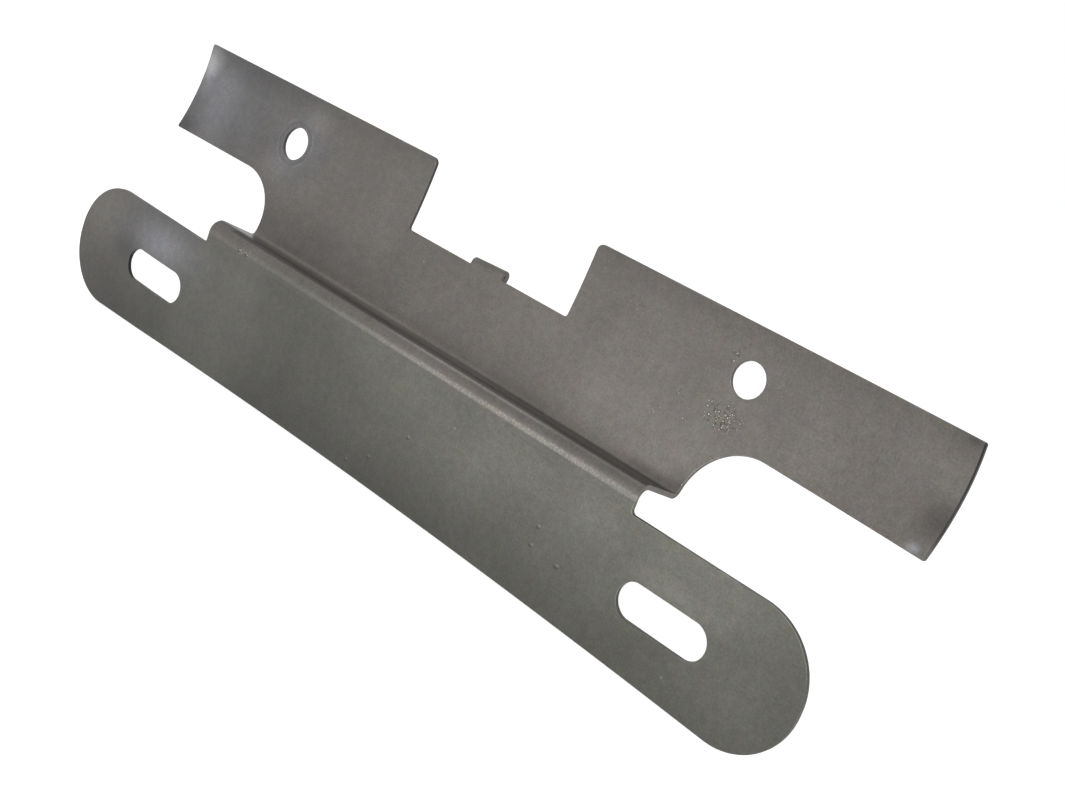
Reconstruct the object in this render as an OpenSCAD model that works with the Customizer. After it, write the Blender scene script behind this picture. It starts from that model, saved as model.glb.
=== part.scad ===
// Licence plate bracket: one folded sheet steel pressing, shown as it is fixed to a vehicle.
// X runs along the bracket, Y away from the viewer, Z up.
// The origin lies midway between the plate slots, on the front face of the plate flange.

/* [Sheet] */
// Thickness of the steel sheet
sheet_t = 1.2; // [0.8:0.1:2]

/* [Plate flange] */
// Overall length of the plate flange
plate_l = 247; // [235:1:280]
// Height of the rounded ears from the slot line to their upper edge
ear_up = 16; // [12:0.5:17]
// Depth of the plate flange below the slot line at its ends
plate_down = 16; // [12:0.5:25]
// Corner radius of the rounded ends
ear_r = 15.5; // [8:0.5:15.5]
// Height of the arch in the lower edge at mid length
edge_arch_h = 2; // [0.5:0.5:4]

/* [Plate slots] */
// Distance between the slot centres
slot_spacing = 177.8; // [170:0.1:190]
// Length of each slot, end to end
slot_l = 23.2; // [10:0.2:30]
// Width of each slot
slot_w = 8.4; // [5:0.2:11]

/* [Step] */
// Length of the folded step between the two flanges
step_l = 146.4; // [140:0.2:155]
// Height above the slot line where the crest bend starts
crest_z = 19.1; // [18:0.1:24]
// Inside radius of the crest bend
crest_r = 2; // [1:0.1:3.5]
// Angle of the crest bend
crest_turn = 104; // [90:1:110]
// Flat length of the web between the two bends
web_l = 10.1; // [6:0.1:14]
// Inside radius of the valley bend
valley_r = 1; // [0.6:0.1:3]
// Angle of the valley bend
valley_turn = 86.5; // [80:0.5:95]
// Radius in the corner between an ear and the step
root_r = 1; // [0.5:0.1:2]

/* [Upper flange] */
// Radius that the upper flange is curved to, on its front face
flange_r = 148; // [110:2:400]
// Length of the upper flange from the valley bend to its top edge
flange_l = 38.8; // [36:0.2:46]
// Reach of the left wing from the middle
wing_left = 118.7; // [110:0.1:130]
// Reach of the right wing from the middle
wing_right = 126.7; // [110:0.1:130]
// Radius of the relief under each wing, which also sets the wing's lower edge
relief_r = 14.1; // [8:0.1:18]
// Fall of a wing's lower edge from the relief to the wing's end
wing_drop = 0.6; // [0.1:0.1:2]
// Corner radius of the wings
wing_corner_r = 0.7; // [0.3:0.1:2]

/* [Fixing holes] */
// Diameter of the left fixing hole
hole_d_left = 8.7; // [5:0.1:12]
// Diameter of the right fixing hole
hole_d_right = 8.1; // [5:0.1:12]
// Distance from the middle to the left fixing hole
hole_x_left = 74.6; // [60:0.1:90]
// Distance from the middle to the right fixing hole
hole_x_right = 75.2; // [60:0.1:90]
// Distance of the left fixing hole from the top edge
hole_drop_left = 13.5; // [9:0.1:15]
// Distance of the right fixing hole from the top edge
hole_drop_right = 11.3; // [9:0.1:15]

/* [Notch and hook] */
// Width of the notch in the top edge
notch_w = 53.7; // [40:0.1:70]
// Depth of the notch
notch_d = 18.5; // [10:0.5:22]
// Radius of the notch's upper corners
notch_lip_r = 1.6; // [0.5:0.1:4]
// Radius of the notch's lower corners
notch_floor_r = 0.8; // [0.4:0.1:3]
// Width of the hook tab in the notch
hook_w = 11; // [6:0.5:20]
// Place of the hook tab's middle along the bracket
hook_x = 0.5; // [-5:0.5:5]
// Height of the hook's stem above the notch floor
hook_stem = 0.7; // [0.5:0.1:3]
// Inside radius of the hook's curl
hook_r = 0.3; // [0.2:0.1:1.5]
// Angle that the hook curls backward through
hook_turn = 180; // [90:5:180]
// Straight length at the end of the hook
hook_tail = 0.7; // [0.3:0.1:2]
// Radius beside the hook's stem
hook_root_r = 0.5; // [0.2:0.1:0.5]

/* [Hidden] */
$fn = 72;
steel = [0.43, 0.42, 0.40];
half_step = step_l / 2;
end_flat = plate_l / 2 - ear_r;
edge_r = (end_flat * end_flat + edge_arch_h * edge_arch_h) / (2 * edge_arch_h);
notch_floor = flange_l - notch_d;
stem_end = notch_floor + hook_stem;
// Depth that the hook's section reaches into the flange under the notch floor
hook_lap = 1.5;
// Length of the punches that cut through the sheet
punch = 8;
// Distance that cuts run on past the metal
cut_over = 2;
// Room that the cut beside the step takes across the web and the crest
fold_room = web_l + 2 * (crest_r + sheet_t) + valley_r + sheet_t + cut_over;

// A place on the sheet's middle line is [y, z, heading]; heading 90 points up and a positive turn bends to the front.

// The place a length l straight ahead of p
function ahead(p, l) = [p[0] + l * cos(p[2]), p[1] + l * sin(p[2]), p[2]];

// The place past a bend with inside radius r
function turned(p, r, turn) =
    let (m = sign(turn) * (r + sheet_t / 2), h = p[2] + turn)
    [p[0] + m * (sin(h) - sin(p[2])), p[1] + m * (cos(p[2]) - cos(h)), h];

function bend(p, r, turn, steps) = [for (i = [0:steps]) turned(p, r, turn * i / steps)];

// A point of the section at distance d in front of the middle line
function beside(p, d) = [p[0] - d * sin(p[2]), p[1] + d * cos(p[2])];

// The fold, from the plate flange up: crest, web, valley, upper flange
crest = [sheet_t / 2, crest_z, 90];
web = turned(crest, crest_r, -crest_turn);
valley = ahead(web, web_l);
foot = turned(valley, valley_r, valley_turn);

// The place on the upper flange at distance l from the valley
function flange_place(l) = turned(foot, flange_r, flange_angle(l));
function flange_angle(l) = l / (flange_r + sheet_t / 2) * 180 / PI;
function flange_part(from, to, steps) = bend(flange_place(from), flange_r, flange_angle(to - from), steps);

hook_root = flange_part(notch_floor - hook_lap, stem_end, 1);
fold_line = concat(
    bend(crest, crest_r, -crest_turn, 18),
    bend(valley, valley_r, valley_turn, 14),
    flange_part(0, notch_floor - hook_lap, 9),
    hook_root,
    flange_part(stem_end, flange_l, 9)
);
hook_bend = bend(flange_place(stem_end), hook_r, -hook_turn, 18);
hook_line = concat(hook_root, hook_bend, [ahead(hook_bend[len(hook_bend) - 1], hook_tail)]);

// Sheet along a middle line, from x0 to x1
module sheet(line, x0, x1) {
    half = sheet_t / 2;
    rotate([90, 0, 90])
        translate([0, 0, x0])
            linear_extrude(x1 - x0)
                polygon(concat(
                    [for (p = line) beside(p, half)],
                    [for (i = [len(line) - 1:-1:0]) beside(line[i], -half)]
                ));
}

// Stands children on the flange at distance l from the valley: x along the bracket, y up the flange, z to the front
module on_flange(l) {
    p = flange_place(l);
    translate([0, p[0], p[1]])
        rotate([p[2], 0, 0])
            children();
}

module punch_flange(l) {
    on_flange(l)
        linear_extrude(punch, center = true)
            children();
}

// Outlines

// What a rounded corner leaves of its square: the corner is at the origin, the metal on the side of +x and +y
module corner(r) {
    difference() {
        translate([-cut_over, -cut_over]) square(r + cut_over);
        translate([r, r]) circle(r);
    }
}

module fillet(r) {
    difference() {
        square(r);
        translate([r, r]) circle(r);
    }
}

module slot() {
    run = slot_l - slot_w;
    translate([-run / 2, -slot_w / 2]) square([run, slot_w]);
    for (x = [-run / 2, run / 2])
        translate([x, 0]) circle(d = slot_w);
}

module plate_outline() {
    difference() {
        union() {
            translate([-end_flat, -plate_down]) square([2 * end_flat, plate_down + ear_up]);
            translate([-plate_l / 2, ear_r - plate_down]) square([plate_l, plate_down + ear_up - 2 * ear_r]);
            for (x = [-end_flat, end_flat], z = [ear_r - plate_down, ear_up - ear_r])
                translate([x, z]) circle(ear_r);
            translate([-half_step, 0]) square([step_l, crest_z]);
            for (side = [0, 1])
                mirror([side, 0]) translate([half_step, ear_up]) fillet(root_r);
        }
        translate([0, edge_arch_h - plate_down - edge_r]) circle(edge_r, $fn = 1440);
        for (x = [-slot_spacing / 2, slot_spacing / 2])
            translate([x, 0]) slot();
    }
}

// Space beside the step and under a wing, right of the middle; y = 0 is the end of the valley bend
module side_outline(reach) {
    start = half_step + relief_r;
    low = -fold_room;
    translate([start, 0]) circle(relief_r);
    polygon([
        [half_step, low],
        [half_step, 0],
        [start, 0],
        [start, relief_r],
        [reach, relief_r - wing_drop],
        [reach + cut_over, relief_r - wing_drop],
        [reach + cut_over, low]
    ]);
    translate([reach, relief_r - wing_drop]) mirror([1, 0]) corner(wing_corner_r);
}

module notch_outline() {
    half = notch_w / 2;
    difference() {
        union() {
            translate([-half, 0]) square([notch_w, notch_d + cut_over]);
            for (side = [0, 1])
                mirror([side, 0]) translate([half, notch_d]) mirror([0, 1]) corner(notch_lip_r);
        }
        for (side = [0, 1])
            mirror([side, 0]) translate([half, 0]) mirror([1, 0]) fillet(notch_floor_r);
        for (side = [0, 1])
            translate([hook_x, 0]) mirror([side, 0]) translate([hook_w / 2, 0]) fillet(hook_root_r);
    }
}

// The bracket's regions

module plate_flange() {
    translate([0, sheet_t, 0])
        rotate([90, 0, 0])
            linear_extrude(sheet_t)
                plate_outline();
}

module folded_sheet() {
    difference() {
        sheet(fold_line, -wing_left, wing_right);
        on_flange(0)
            translate([0, 0, -punch / 2])
                linear_extrude(punch / 2 + fold_room) {
                    side_outline(wing_right);
                    mirror([1, 0]) side_outline(wing_left);
                }
        punch_flange(flange_l) {
            translate([wing_right, 0]) rotate(180) corner(wing_corner_r);
            translate([-wing_left, 0]) rotate(-90) corner(wing_corner_r);
        }
        punch_flange(notch_floor) notch_outline();
        on_flange(flange_l - hole_drop_right)
            translate([hole_x_right, 0, 0]) cylinder(punch, d = hole_d_right, center = true);
        on_flange(flange_l - hole_drop_left)
            translate([-hole_x_left, 0, 0]) cylinder(punch, d = hole_d_left, center = true);
    }
}

module hook() {
    sheet(hook_line, hook_x - hook_w / 2, hook_x + hook_w / 2);
}

module bracket() {
    color(steel) {
        plate_flange();
        folded_sheet();
        hook();
    }
}

bracket();
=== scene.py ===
import math

import bpy
from mathutils import Matrix, Vector


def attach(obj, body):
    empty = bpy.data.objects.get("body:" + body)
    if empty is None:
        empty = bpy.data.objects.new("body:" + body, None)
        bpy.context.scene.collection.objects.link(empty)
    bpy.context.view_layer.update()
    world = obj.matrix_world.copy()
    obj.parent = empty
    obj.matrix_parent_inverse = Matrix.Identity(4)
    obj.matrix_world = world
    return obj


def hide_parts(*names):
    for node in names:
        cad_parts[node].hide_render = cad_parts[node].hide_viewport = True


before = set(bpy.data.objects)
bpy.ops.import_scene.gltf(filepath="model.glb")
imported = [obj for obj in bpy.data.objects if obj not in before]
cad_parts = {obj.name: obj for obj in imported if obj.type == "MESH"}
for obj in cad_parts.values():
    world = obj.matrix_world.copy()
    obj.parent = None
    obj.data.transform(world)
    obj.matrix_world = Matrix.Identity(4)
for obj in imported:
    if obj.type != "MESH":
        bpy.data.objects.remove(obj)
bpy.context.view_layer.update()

# The bracket: one blank of mild steel sheet, punched out flat, then folded in a press and curved.
# It is drawn flat and upright in millimetres, x along it and z up the sheet from the plate slots,
# with its front face at y = 0, and is folded after its edges are rounded.
sheet_t = 1.2
half_t = sheet_t / 2
plate_half, ear, ear_r = 123.5, 16.0, 15.5
arch = 2.0
slot_x, slot_l, slot_w = 88.9, 23.2, 8.4
step_half, root_r = 73.2, 1.0
crest_z, crest_r, crest_turn, crest_steps = 19.1, 2.0, 104.0, 18
web_l = 10.1
valley_r, valley_turn, valley_steps = 1.0, 86.5, 14
flange_r, flange_l, flange_steps = 148.0, 38.8, 20
wing_left, wing_right, wing_corner_r = 118.7, 126.7, 0.5
wing_drop_left, wing_drop_right = 0.05, 0.6
# Each wing: its side, its reach from the middle and the fall of its lower edge.
wings = ((-1, wing_left, wing_drop_left), (1, wing_right, wing_drop_right))
relief_r = 14.1
# Each fixing hole: its place along the bracket, its distance from the top edge and its radius.
holes = ((-74.6, 13.5, 4.35), (75.2, 11.3, 4.05))
notch_half, notch_d, notch_lip_r, notch_floor_r = 26.85, 18.5, 1.6, 0.8
hook_x, hook_half, hook_root_r = 0.475, 5.125, 0.5
hook_stem, hook_r, hook_turn, hook_steps, hook_tail = 0.7, 0.3, 188.0, 16, 1.15
edge_round = 0.24
punch_l = 8
# Places nearer than near are one place, and a corner is looked for within corner_search of where it belongs.
# Faces that meet at less than flat_angle are one face.
near = 0.01
corner_search = 0.4
flat_angle = math.radians(0.05)


# A bend is a run of short flats, so it takes its chords' length of the sheet.
def chord(radius, turn, steps):
    return 2 * (radius + half_t) * math.sin(math.radians(turn / steps / 2))


flange_turn = math.degrees(flange_l / (flange_r + half_t))
valley_z = crest_z + crest_steps * chord(crest_r, crest_turn, crest_steps) + web_l
foot_z = valley_z + valley_steps * chord(valley_r, valley_turn, valley_steps)
top_z = foot_z + flange_steps * chord(flange_r, flange_turn, flange_steps)
floor_z = top_z - notch_d
wing_z = foot_z + relief_r
hook_z = floor_z + hook_stem
hook_end_z = hook_z + hook_steps * chord(hook_r, hook_turn, hook_steps) + hook_tail


def pick(kind, wanted):
    bpy.ops.object.mode_set(mode="EDIT")
    bpy.ops.mesh.select_mode(type=kind)
    bpy.ops.mesh.select_all(action="DESELECT")
    bpy.ops.object.mode_set(mode="OBJECT")
    mesh = sheet.data
    if kind == "FACE":
        for face in mesh.polygons:
            face.select = wanted(face.center, face.normal)
    elif kind == "EDGE":
        for edge in mesh.edges:
            edge.select = wanted(*(mesh.vertices[i].co for i in edge.vertices))
    else:
        for vertex in mesh.vertices:
            vertex.select = wanted(vertex.co)
    bpy.ops.object.mode_set(mode="EDIT")


def everything(*_):
    return True


def grow(wanted, x=0.0, z=0.0):
    pick("FACE", wanted)
    bpy.ops.mesh.extrude_region_move(TRANSFORM_OT_translate={"value": (x, 0, z)})


def score(place, normal, wanted=everything):
    pick("VERT", wanted)
    bpy.ops.mesh.bisect(plane_co=place, plane_no=normal, threshold=0.0005)


# Rounds the corners of the outline that stand at the places x, z.
def round_corners(places, radius, steps):
    def at_corner(a, b):
        through_sheet = abs(a.x - b.x) + abs(a.z - b.z) < near
        return through_sheet and any(math.hypot(a.x - x, a.z - z) < corner_search for x, z in places)

    pick("EDGE", at_corner)
    bpy.ops.mesh.bevel(offset=radius, segments=steps, profile=0.5, affect="EDGES", clamp_overlap=False)


# Cuts a round hole, or a slot whose rounded ends stand half_run to each side.
def punch(x, z, radius, sides, half_run=0.0):
    bpy.ops.object.mode_set(mode="OBJECT")
    bpy.ops.mesh.primitive_cylinder_add(
        vertices=sides,
        radius=radius,
        depth=punch_l,
        location=(x, half_t, z),
        rotation=(math.radians(90), 0, 0),
    )
    tool = bpy.context.view_layer.objects.active
    bpy.ops.object.transform_apply(location=True, rotation=True, scale=True)
    for vertex in tool.data.vertices:
        if abs(vertex.co.x - x) > near:
            vertex.co.x += math.copysign(half_run, vertex.co.x - x)
    cut = sheet.modifiers.new("punch", "BOOLEAN")
    cut.solver = "EXACT"
    cut.object = tool
    bpy.ops.object.select_all(action="DESELECT")
    bpy.context.view_layer.objects.active = sheet
    bpy.ops.object.modifier_apply(modifier=cut.name)
    bpy.data.objects.remove(tool)


def on_top(at, normal):
    return normal.z > 0.9 and at.z > ear + 1


bpy.ops.object.select_all(action="DESELECT")
bpy.ops.mesh.primitive_cube_add(size=1, location=(0, half_t, 0), scale=(2 * plate_half, sheet_t, 2 * ear))
sheet = bpy.context.view_layer.objects.active
sheet.name = "painted_sheet"
bpy.ops.object.transform_apply(location=True, rotation=True, scale=True)
for x in (-step_half, step_half, -notch_half, notch_half, hook_x - hook_half, hook_x + hook_half):
    score((x, 0, 0), (1, 0, 0))
grow(lambda at, normal: normal.z > 0.9 and abs(at.x) < step_half, z=wing_z - ear)
grow(on_top, z=floor_z - wing_z)
grow(lambda at, normal: on_top(at, normal) and abs(at.x) > notch_half, z=notch_d)
grow(lambda at, normal: on_top(at, normal) and abs(at.x - hook_x) < hook_half, z=hook_end_z - floor_z)
for side, reach, drop in wings:
    grow(
        lambda at, normal: normal.x * side > 0.9 and at.z > wing_z and abs(at.x) > notch_half + 1,
        x=side * (reach - step_half),
    )
bpy.ops.object.mode_set(mode="OBJECT")
for side, reach, drop in wings:
    for vertex in sheet.data.vertices:
        out = side * vertex.co.x - step_half
        if abs(vertex.co.z - wing_z) < near and out > -near:
            vertex.co.z -= drop * (out - relief_r) / (reach - step_half - relief_r)
pick("VERT", everything)
bpy.ops.mesh.dissolve_limited(angle_limit=flat_angle)
round_corners([(x, z) for x in (-plate_half, plate_half) for z in (-ear, ear)], ear_r, 24)
round_corners([(-step_half, ear), (step_half, ear)], root_r, 8)
round_corners([(-step_half, wing_z), (step_half, wing_z)], relief_r, 24)
for side, reach, drop in wings:
    round_corners([(side * reach, wing_z - drop), (side * reach, top_z)], wing_corner_r, 8)
round_corners([(-notch_half, top_z), (notch_half, top_z)], notch_lip_r, 10)
round_corners([(-notch_half, floor_z), (notch_half, floor_z)], notch_floor_r, 8)
round_corners([(hook_x - hook_half, floor_z), (hook_x + hook_half, floor_z)], hook_root_r, 6)
arch_r = ((plate_half - ear_r) ** 2 + arch**2) / (2 * arch)
punch(0, arch - ear - arch_r, arch_r, 1440)
for side in (-1, 1):
    punch(side * slot_x, 0, slot_w / 2, 64, (slot_l - slot_w) / 2)
for x, drop, radius in holes:
    punch(x, top_z - drop, radius, 64)

pick("VERT", everything)
bpy.ops.mesh.remove_doubles(threshold=0.002)
bpy.ops.mesh.dissolve_limited(angle_limit=flat_angle)
bpy.ops.object.mode_set(mode="OBJECT")
rounding = sheet.modifiers.new("edge rounding", "BEVEL")
rounding.width = edge_round
rounding.segments = 3
rounding.limit_method = "ANGLE"
rounding.angle_limit = math.radians(60)
bpy.ops.object.modifier_apply(modifier=rounding.name)

# The press: rows of edges are scored across the sheet where it bends, then all that lies past each row
# is turned, the topmost row first. A turn above 0 brings the sheet forward.
# Each fold is its row's height and its turn below and above the row.
folds = []


def bend(z, radius, turn, steps):
    half_part = turn / steps / 2
    for i in range(steps + 1):
        row = z + i * chord(radius, abs(turn), steps)
        folds.append((row, half_part if i > 0 else 0, half_part if i < steps else 0))


bend(crest_z, crest_r, -crest_turn, crest_steps)
bend(valley_z, valley_r, valley_turn, valley_steps)
bend(foot_z, flange_r, flange_turn, flange_steps)
hook_folds_from = len(folds)
bend(hook_z, hook_r, -hook_turn, hook_steps)


def in_hook(place):
    return abs(place.x - hook_x) < hook_half + near and place.z > floor_z - near


for number, fold in enumerate(folds):
    score((0, 0, fold[0]), (0, 0, 1), everything if number <= hook_folds_from else in_hook)

# The wings are scored upright as well, past these places, so that they can bow.
bow_x, bow_z = 76, foot_z + 5
for side, reach, drop in wings:
    for x in (bow_x, 80, 85, 91, 97, 103, 109, 115):
        if x < reach - 2:
            score((side * x, 0, 0), (1, 0, 0), lambda at: at.z > bow_z and abs(at.x) > notch_half)
bpy.ops.object.mode_set(mode="OBJECT")
bpy.ops.object.select_all(action="DESELECT")
sheet.select_set(True)
bpy.context.view_layer.objects.active = sheet
bpy.ops.object.shade_smooth_by_angle(angle=math.radians(40))
even = sheet.modifiers.new("flat faces stay flat", "WEIGHTED_NORMAL")
even.keep_sharp = True
bpy.ops.object.modifier_apply(modifier=even.name)

# The shading of the flat blank is kept and is turned with the sheet, so the curved flange shows no strips.
flat = [vertex.co.copy() for vertex in sheet.data.vertices]
spots = list(zip(sheet.data.vertices, flat))
facing = [corner.vector.copy() for corner in sheet.data.corner_normals]
lean = [Matrix.Identity(3) for vertex in flat]
same_row = 0.002
for number in reversed(range(len(folds))):
    z, before, after = folds[number]
    pivot = Vector((0, half_t, z))
    on_row = Matrix.Rotation(math.radians(before), 3, "X")
    past_row = Matrix.Rotation(math.radians(before + after), 3, "X")
    hook_only = number >= hook_folds_from
    for vertex, place in spots:
        if place.z < z - same_row or (hook_only or z > hook_z) and in_hook(place) != hook_only:
            continue
        turn = on_row if place.z < z + same_row else past_row
        vertex.co = pivot + turn @ (vertex.co - pivot)
        lean[vertex.index] = turn @ lean[vertex.index]

# What the press leaves uneven. Both wings are bowed a little more than the middle, most at their ends.
# Each bow: the wing's side and reach, how far back its end goes and at what height above the flange's foot,
# and how steeply it curves forward above and below that. bow_growth sets how it grows along the wing.
bow_growth = 1.3
bows = ((-1, wing_left, 0.37, 30, 0.005), (1, wing_right, 0.95, 27.1, 0.0152))
for side, reach, back, height, curl in bows:
    for vertex, place in spots:
        out = side * place.x - bow_x
        if out > 0 and place.z > bow_z:
            part = (out / (reach - bow_x)) ** bow_growth
            rise = place.z - foot_z - height
            push = back - curl * rise**2
            across = side * bow_growth * part / out * push
            vertex.co.y += part * push
            bowed = Matrix(((1, -across, 0), (0, 1, 0), (0, 2 * part * curl * rise, 1)))
            lean[vertex.index] = bowed @ lean[vertex.index]

# The left ear rises a little towards its end.
ear_rise, ear_rise_x = 0.55, 90
for vertex, place in spots:
    out = -place.x - ear_rise_x
    if out > 0 and place.z < ear + 1:
        vertex.co.z += ear_rise * out / (plate_half - ear_rise_x)

# The hook is curled a little out of line and stands a hair high, from hook_fade above the notch floor on.
hook_tilt = Matrix.Rotation(math.radians(-2.6), 3, "Y")
hook_lift = Vector((0, 0, 0.05))
hook_fade = 0.9
hook_spots = [(vertex, place) for vertex, place in spots if in_hook(place)]
hook_low = min(vertex.co.z for vertex, place in hook_spots if place.z < hook_z)
for vertex, place in hook_spots:
    part = min(1, (place.z - floor_z) / hook_fade)
    lean[vertex.index] = Matrix.Identity(3).lerp(hook_tilt, part) @ lean[vertex.index]
    pivot = Vector((hook_x, vertex.co.y, hook_low))
    vertex.co = vertex.co.lerp(pivot + hook_tilt @ (vertex.co - pivot) + hook_lift, part)

sheet.data.transform(Matrix.Scale(0.001, 4))
flat_place = sheet.data.attributes.new("flat_place", "FLOAT_VECTOR", "POINT")
flat_place.data.foreach_set("vector", [number for place in flat for number in place])
turned = [lean[corner.vertex_index] @ normal for corner, normal in zip(sheet.data.loops, facing)]
sheet.data.normals_split_custom_set([normal.normalized() for normal in turned])

# Its paint: a thin, satin, dark grey coat over the bare steel, laid out on the flat blank in millimetres.
# A ramp runs smoothly from one level to another, and a mask is 1 where something shows and 0 elsewhere.
paint = bpy.data.materials.new("satin_grey_paint")
paint.use_nodes = True
nodes = paint.node_tree.nodes
links = paint.node_tree.links
coat = nodes["Principled BSDF"]
blank = nodes.new("ShaderNodeAttribute")
blank.attribute_name = "flat_place"


def plug(value, socket):
    if isinstance(value, (int, float, tuple)):
        socket.default_value = value
    else:
        links.new(value, socket)


def sums(how, a, b=0.0, c=0.0):
    node = nodes.new("ShaderNodeMath")
    node.operation = how
    for value, socket in zip((a, b, c), node.inputs):
        plug(value, socket)
    return node.outputs[0]


def product(first, *others):
    for other in others:
        first = sums("MULTIPLY", first, other)
    return first


def highest(first, *others):
    for other in others:
        first = sums("MAXIMUM", first, other)
    return first


# The tone, made lighter by much where the mask is 1, or darker where much is below 0.
def lighter(tone, mask, much):
    return product(tone, sums("MULTIPLY_ADD", mask, much, 1.0))


def vectors(how, a, b):
    node = nodes.new("ShaderNodeVectorMath")
    node.operation = how
    plug(a, node.inputs[0])
    plug(b, node.inputs[1])
    return node.outputs["Value" if how == "LENGTH" else "Vector"]


def ramp(value, start, end, low=0.0, high=1.0):
    node = nodes.new("ShaderNodeMapRange")
    node.interpolation_type = "SMOOTHSTEP"
    for number, socket in zip((start, end, low, high), node.inputs[1:5]):
        socket.default_value = number
    links.new(value, node.inputs[0])
    return node.outputs[0]


def fade(value, start, end):
    return ramp(value, start, end, 1, 0)


# A band: the mask rises over the first two places and fades over the last two.
def band(value, rise_start, rise_end, fade_start, fade_end):
    return product(ramp(value, rise_start, rise_end), fade(value, fade_start, fade_end))


def speckle(size, detail, colour=False):
    node = nodes.new("ShaderNodeTexNoise")
    node.inputs["Scale"].default_value = 1 / size
    node.inputs["Detail"].default_value = detail
    links.new(blank.outputs["Vector"], node.inputs["Vector"])
    return node.outputs["Color" if colour else "Fac"]


# How far a place on the blank is from x, z: 0 in the middle of a patch, 1 at its reach.
def away(x, z, reach_x, reach_z):
    shifted = vectors("SUBTRACT", blank.outputs["Vector"], (x, 0, z))
    return vectors("LENGTH", vectors("MULTIPLY", shifted, (1 / reach_x, 0, 1 / reach_z)), (0, 0, 0))


# A patch on the blank, even out to its core and gone at its reach.
def patch(x, z, reach_x, reach_z, core, much=1):
    return ramp(away(x, z, reach_x, reach_z), core, 1, much, 0)


split = nodes.new("ShaderNodeSeparateXYZ")
links.new(blank.outputs["Vector"], split.inputs[0])
along, through, up = split.outputs

# Painted shade in broad gradients: the coat is darker low down, at the left and along the top edge, where
# less light falls on it or is mirrored by it.
tone = product(ramp(up, -15.5, 14, 0.62, 1.04), ramp(along, -100, 60, 0.88, 1.04))
tone = product(tone, ramp(up, 66, 75.5, 1, 0.76))

# Painted shade and highlights: the web and the top of the crest are painted darker to the right. Behind the
# crest runs a painted dark line, where the web mirrors the shaded flange, with a short painted highlight in
# front of it.
off_cut = fade(along, step_half - 0.5, step_half - 0.05)
web_shade_mask = product(band(up, 23.0, 23.7, 33, 35), off_cut)
tone = lighter(tone, web_shade_mask, ramp(along, -20, 85, 0.05, -0.75))
askew = sums("MULTIPLY_ADD", along, -0.0045, up)
crest_shadow_line = product(ramp(askew, 21.65, 22.15), fade(up, 22.3, 27), ramp(along, -68.5, -64.5), off_cut)
tone = lighter(tone, crest_shadow_line, -0.6)
tone = lighter(tone, band(up, 20.0, 20.8, 21.3, 21.8), ramp(along, -20, 75, 0, -0.22))
tone = lighter(tone, product(band(up, 21.2, 21.6, 21.8, 22.2), band(along, -15, 8, 35, 54)), 0.6)

# Painted light: where the web ends in the valley, the coat is painted lighter to the left, as light on the
# valley bend.
tone = lighter(tone, band(up, 29.3, 31.5, 34, 37.5), ramp(along, -75, 60, 1.1, 0.0))

# Painted highlights, reflections and shade on the coat: x, z, reach along and up, and how much lighter each
# is.
painted_sheen_and_shade = (
    (-28, 0, 46, 30, -0.22),
    (-62, -9, 20, 17, 0.3),
    (-100, -14, 30, 15, -0.25),
    (-103, 2, 8, 7, -0.3),
    (-115, 6, 16, 14, 0.22),
    (-89, 8.5, 17, 9, 1.0),
    (90, 6, 18, 5, 0.35),
    (95, 12, 30, 9, 0.14),
    (120, 6, 18, 20, -0.25),
    (8, -15, 60, 16, -0.27),
    (-38, 12, 30, 12, -0.2),
    (-50, 16, 34, 4.5, -0.14),
    (-95, 75, 34, 9, -0.25),
    (-118.5, 71.5, 8.5, 7, 2.4),
    (-116.5, 65.5, 4.5, 8, 0.5),
    (-113, 69, 8, 13, 0.33),
    (-107, 61, 10, 18, 0.45),
    (-118, 51.5, 8, 5, -0.45),
    (-70, 70.5, 9, 6, 0.45),
    (-78, 54, 9, 7, 0.25),
    (-60, 41, 60, 12, -0.2),
    (57, 42, 42, 14, 0.42),
    (68, 36.2, 18, 2.4, -0.38),
    (73, 38.5, 6, 3.5, -0.25),
    (92, 68, 32, 12, -0.12),
    (118, 64, 20, 18, -0.15),
    (126, 57.5, 8.5, 7, -0.5),
    (123.4, 51, 2.4, 1.6, 1.0),
    (124.5, 74.6, 3, 1.8, -0.4),
    (hook_x, floor_z + 2, 6.5, 2.6, -0.22),
)
for x, z, reach_x, reach_z, much in painted_sheen_and_shade:
    tone = product(tone, ramp(away(x, z, reach_x, reach_z), 0, 1, 1 + much, 1))

# The grain of the coat: clouds, blots and specks.
cloud = sums("MULTIPLY_ADD", speckle(20, 3), 0.7, 0.65)
blot = sums("MULTIPLY_ADD", speckle(1.9, 3), 0.45, 0.775)
grain = sums("MULTIPLY_ADD", speckle(0.55, 2), 0.7, 0.65)
tone = product(tone, cloud, blot, grain)

# Painted shade: the cut faces of the edges are painted darker, most of all at the right wing's end and in
# the left slot's outer end.
cut = band(through, 0.14, 0.3, 0.9, 1.06)
off_fold = highest(fade(up, 15.8, 17), ramp(up, 38, 41))
off_hook = ramp(away(hook_x + 5, floor_z + 4, 2, 5), 0.8, 1.1, 0.3, 1)
tone = lighter(tone, product(cut, off_fold, off_hook), -0.55)
wing_end_shade = product(ramp(along, wing_right - 0.5, wing_right - 0.2), ramp(up, wing_z - 2, wing_z + 6))
slot_end_shade = product(ramp(through, 0.05, 0.2), patch(-100, 0, 6, 8, 0.5))
tone = lighter(tone, highest(wing_end_shade, slot_end_shade), -0.97)

# Painted highlights on the rounded rims of the edges, where they catch the light here and there.
rim_glints = highest(
    ramp(speckle(9, 3), 0.48, 0.62),
    patch(75.5, 41, 5, 6, 0.4),
    patch(-116, 9, 20, 13, 0.4),
    patch(115, 14, 9, 5, 0.4),
)
tone = lighter(tone, product(band(through, 0.01, 0.06, 0.1, 0.2), rim_glints), 0.9)
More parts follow.
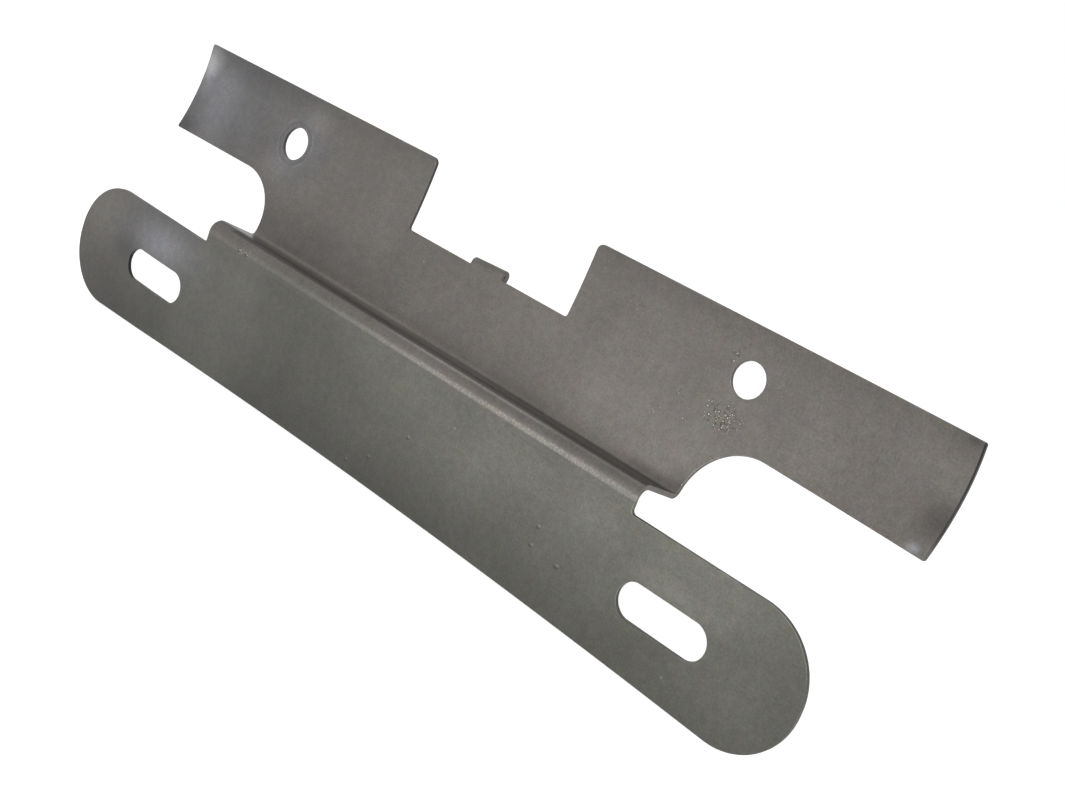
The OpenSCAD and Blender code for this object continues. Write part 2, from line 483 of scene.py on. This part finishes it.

# Partly wear, partly painted highlight: the crest line is lighter, most on the right, and it glitters.
crest_wear_and_sheen = product(ramp(up, 18.45, 18.95), fade(sums("MULTIPLY_ADD", along, -0.004, up), 19.15, 19.95))
crest_wear_and_sheen = product(crest_wear_and_sheen, ramp(along, -55, 30, 0.3, 1.0), ramp(along, 52, 74, 1, 0.55))
glitter = ramp(speckle(0.45, 1), 0.5, 0.66)
crest_wear_and_highlight = product(crest_wear_and_sheen, sums("MULTIPLY_ADD", glitter, 0.5, 0.5))
tone = lighter(tone, crest_wear_and_highlight, 1.45)

# The ring that a washer pressed round the left fixing hole, with a painted highlight on it and painted shade
# just inside it.
hole_x, hole_drop = holes[0][:2]
from_hole = away(hole_x, top_z - hole_drop, 1, 1)


def ring_line(radius, width):
    return fade(sums("ABSOLUTE", sums("SUBTRACT", from_hole, radius)), 0.05, width)


ring = product(ring_line(6.3, 0.55), ramp(speckle(4, 2), 0.4, 0.58))
tone = lighter(tone, ring, 0.28)
tone = lighter(tone, ring_line(5.5, 0.7), -0.13)

# Blisters in the coat, each a pimple with a painted highlight in a moat of painted shade: a patch under the
# right fixing hole, and a few beside both holes and, as painted glints, along the crest. x, z, reach along
# and up, and how strong each patch is.
cells = nodes.new("ShaderNodeTexVoronoi")
cells.inputs["Scale"].default_value = 1 / 0.62
links.new(blank.outputs["Vector"], cells.inputs["Vector"])
from_cell = cells.outputs["Distance"]
blistered = patch(73.6, 54.6, 6.2, 3.9, 0.5)
for x, z, reach_x, reach_z, much in (
    (65.4, 49.6, 0.9, 0.9, 1.0),
    (62, 55, 1, 1.4, 0.5),
    (70.4, 66.5, 1.4, 3.2, 0.9),
    (83, 64.5, 3.5, 2.5, 0.3),
    (-80.8, 61.6, 1.5, 3, 0.5),
    (-73.5, 51.6, 1, 2.2, 0.7),
    (-59.5, 19, 5.5, 1.1, 1.0),
    (72.8, 37.6, 0.8, 1.5, 1.0),
    (43, 67, 4, 2.5, 0.35),
    (58, 49, 2.5, 2, 0.35),
):
    blistered = highest(blistered, patch(x, z, reach_x, reach_z, 0.3, much))
blistered = product(blistered, ramp(speckle(1.3, 1), 0.42, 0.52))
blisters_and_glints = product(fade(from_cell, 0.14, 0.38), blistered)
blister_moat_shade = product(band(from_cell, 0.3, 0.38, 0.42, 0.6), blistered)
tone = lighter(tone, blisters_and_glints, 2.7)
tone = lighter(tone, blister_moat_shade, -0.72)

# Grit under the coat, mostly of the plate flange, each grain lighter, with painted shade on its lower side.
grit = patch(61.5, -2.8, 0.8, 0.5, 0.3)
for x, z in (
    (53.6, -2),
    (53.7, 2.5),
    (11.8, 2.7),
    (2.4, -6.9),
    (-3.9, -10.8),
    (23.4, 10.6),
    (94, -10),
    (-17.7, 51.5),
):
    grit = highest(grit, patch(x, z, 0.55, 0.42, 0.3))
grit_shade_and_scratches = patch(61.2, -3.3, 1.0, 0.6, 0.4)
for x, z in ((53.3, -2.5), (53.4, 2), (11.5, 2.2), (2.1, -7.4), (-4.2, -11.3)):
    grit_shade_and_scratches = highest(grit_shade_and_scratches, patch(x, z, 0.75, 0.55, 0.4))

# Three fine scratches below the crest, and a scrape by the right hole.
for x, z, reach_x in ((-40, 17.2, 12), (43, 17, 9), (50, 16.2, 5)):
    grit_shade_and_scratches = highest(grit_shade_and_scratches, patch(x, z, reach_x, 0.28, 0.2, 0.4))
for step in range(4):
    grit_shade_and_scratches = highest(grit_shade_and_scratches, patch(69.6 + 0.85 * step, 67.6 + 0.95 * step, 0.6, 0.45, 0.3, 0.7))
tone = lighter(tone, grit, 0.7)
tone = lighter(tone, grit_shade_and_scratches, -0.35)

# Colour: a green-grey on the plate flange, browner past the crest and on the left ear, the brown past the
# crest being a painted tint of the warmer light mirrored there; bluish as painted reflection where the
# painted highlights are on the left and at the right wing's lower corner.
warm = highest(ramp(up, 18.6, 19.8), ramp(along, -82, -102, 0, 0.8))
bluish_sheen = highest(
    patch(-110, 63, 40, 30, 0),
    patch(-90, 9, 30, 14, 0),
    patch(-74, 62, 18, 18, 0, 0.8),
    patch(123.4, 51, 3, 2.2, 0),
)


def blend(part, first, second):
    node = nodes.new("ShaderNodeMix")
    node.data_type = "RGBA"
    plug(part, node.inputs["Factor"])
    plug(first, node.inputs[6])
    plug(second, node.inputs[7])
    return node.outputs[2]


green_grey = (0.118, 0.117, 0.103, 1)
brown_grey = (0.126, 0.117, 0.108, 1)
sheen_blue_grey = (0.118, 0.119, 0.129, 1)
hue = blend(bluish_sheen, blend(warm, green_grey, brown_grey), sheen_blue_grey)
tint = vectors("ADD", vectors("MULTIPLY", speckle(3.5, 3, True), (0.2, 0.14, 0.2)), (0.9, 0.93, 0.9))
lit = nodes.new("ShaderNodeVectorMath")
lit.operation = "SCALE"
links.new(vectors("MULTIPLY", hue, tint), lit.inputs[0])
links.new(tone, lit.inputs["Scale"])
links.new(lit.outputs["Vector"], coat.inputs["Base Color"])

# Its gloss: satin, smoother on the blisters, and bare steel shows where the crest is rubbed.
rough = sums("MULTIPLY_ADD", speckle(6, 3), 0.16, 0.28)
links.new(sums("SUBTRACT", rough, product(blisters_and_glints, 0.12)), coat.inputs["Roughness"])
links.new(product(crest_wear_and_highlight, 0.4), coat.inputs["Metallic"])
coat.inputs["IOR"].default_value = 1.5
coat.inputs["Specular IOR Level"].default_value = 0.3

# Its skin: slow waves, a fine orange peel, and the marks that stand up from it.
skin_height = product(speckle(9, 2), 0.25)
for mask, height in ((speckle(1.1, 2), 0.03), (blisters_and_glints, 0.06), (ring, 0.03), (grit, 0.09)):
    skin_height = sums("MULTIPLY_ADD", mask, height, skin_height)
skin = nodes.new("ShaderNodeBump")
skin.inputs["Distance"].default_value = 0.001
skin.inputs["Strength"].default_value = 1.0
links.new(skin_height, skin.inputs["Height"])
links.new(skin.outputs[0], coat.inputs["Normal"])
sheet.data.materials.clear()
sheet.data.materials.append(paint)

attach(sheet, "root")
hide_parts("bracket")

# The ground: a wide sheet of white paper under the bracket.
# It shows pure white to the camera and still takes the bracket's shadow.
paper_glow = 0.72
bpy.ops.mesh.primitive_plane_add(size=6, location=(0, 0, -ear / 1000))
ground = bpy.context.view_layer.objects.active
ground.name = "white_ground"
paper = bpy.data.materials.new("white_paper")
paper.use_nodes = True
tree = paper.node_tree
tree.nodes["Principled BSDF"].inputs["Base Color"].default_value = (0.85, 0.85, 0.85, 1)
tree.nodes["Principled BSDF"].inputs["Roughness"].default_value = 0.9


# 1 for whatever the camera sees, be it straight, mirrored or through glass.
def seen_by_camera(tree):
    ray = tree.nodes.new("ShaderNodeLightPath")
    seen = ray.outputs["Is Camera Ray"]
    for kind in ("Is Glossy Ray", "Is Transmission Ray"):
        larger = tree.nodes.new("ShaderNodeMath")
        larger.operation = "MAXIMUM"
        tree.links.new(seen, larger.inputs[0])
        tree.links.new(ray.outputs[kind], larger.inputs[1])
        seen = larger.outputs[0]
    return seen


switch = tree.nodes.new("ShaderNodeMath")
switch.operation = "MULTIPLY"
switch.inputs[1].default_value = paper_glow
tree.links.new(seen_by_camera(tree), switch.inputs[0])
glow = tree.nodes.new("ShaderNodeEmission")
tree.links.new(switch.outputs[0], glow.inputs["Strength"])
mix = tree.nodes.new("ShaderNodeAddShader")
tree.links.new(glow.outputs[0], mix.inputs[0])
tree.links.new(tree.nodes["Principled BSDF"].outputs[0], mix.inputs[1])
tree.links.new(mix.outputs[0], tree.nodes["Material Output"].inputs["Surface"])
ground.data.materials.append(paper)

# The light: a white room, a soft lamp above on the right and a long low strip on the left, as a window.
# Whatever the coat mirrors sees the room at the white that the camera sees.
room_level_on_bracket, room_level_seen = 0.38, 1.0
world = bpy.data.worlds.new("white_room")
bpy.context.scene.world = world
world.use_nodes = True
room = world.node_tree
room_level = room.nodes.new("ShaderNodeMapRange")
room_level.inputs["To Min"].default_value = room_level_on_bracket
room_level.inputs["To Max"].default_value = room_level_seen
room.links.new(seen_by_camera(room), room_level.inputs["Value"])
room.links.new(room_level.outputs[0], room.nodes["Background"].inputs["Strength"])
room.nodes["Background"].inputs["Color"].default_value = (1, 1, 1, 1)


def soft_lamp(name, place, target, width, height, watts, colour):
    bpy.ops.object.light_add(type="AREA", location=place)
    lamp = bpy.context.view_layer.objects.active
    lamp.name = name
    lamp.data.shape = "RECTANGLE"
    lamp.data.size = width
    lamp.data.size_y = height
    lamp.data.energy = watts
    lamp.data.color = colour
    aim = Vector(target) - Vector(place)
    lamp.rotation_euler = aim.to_track_quat("-Z", "Y").to_euler()


soft_lamp("lamp_key", (0.4, -0.6, 0.25), (0.02, 0, 0.03), 0.4, 0.35, 4.1, (1, 0.985, 0.97))
soft_lamp("lamp_strip", (-0.75, -1.0, 0.05), (0, 0, 0.035), 1.3, 0.12, 1.3, (1, 1, 1))

# The camera: it looks down at the bracket from its right front, and is turned on its side a little,
# so that the bracket runs down to the right.
camera_place = Vector((224.413, -258.321, 114.010)) / 1000
camera_right = Vector((0.7068007, 0.6198365, 0.3409332))
camera_down = Vector((0.4336231, 0.0011739, -0.9010936))
camera_ahead = Vector((-0.5589309, 0.7847301, -0.2679457))
bpy.ops.object.camera_add()
camera = bpy.context.view_layer.objects.active
camera.name = "photo_camera"
turn = Matrix((camera_right, -camera_down, -camera_ahead)).transposed().to_4x4()
camera.matrix_world = Matrix.Translation(camera_place) @ turn
camera.data.sensor_width = 36
camera.data.lens = 52.233
camera.data.clip_start = 0.01
bpy.context.scene.camera = camera
bpy.context.scene.view_settings.view_transform = "Standard"
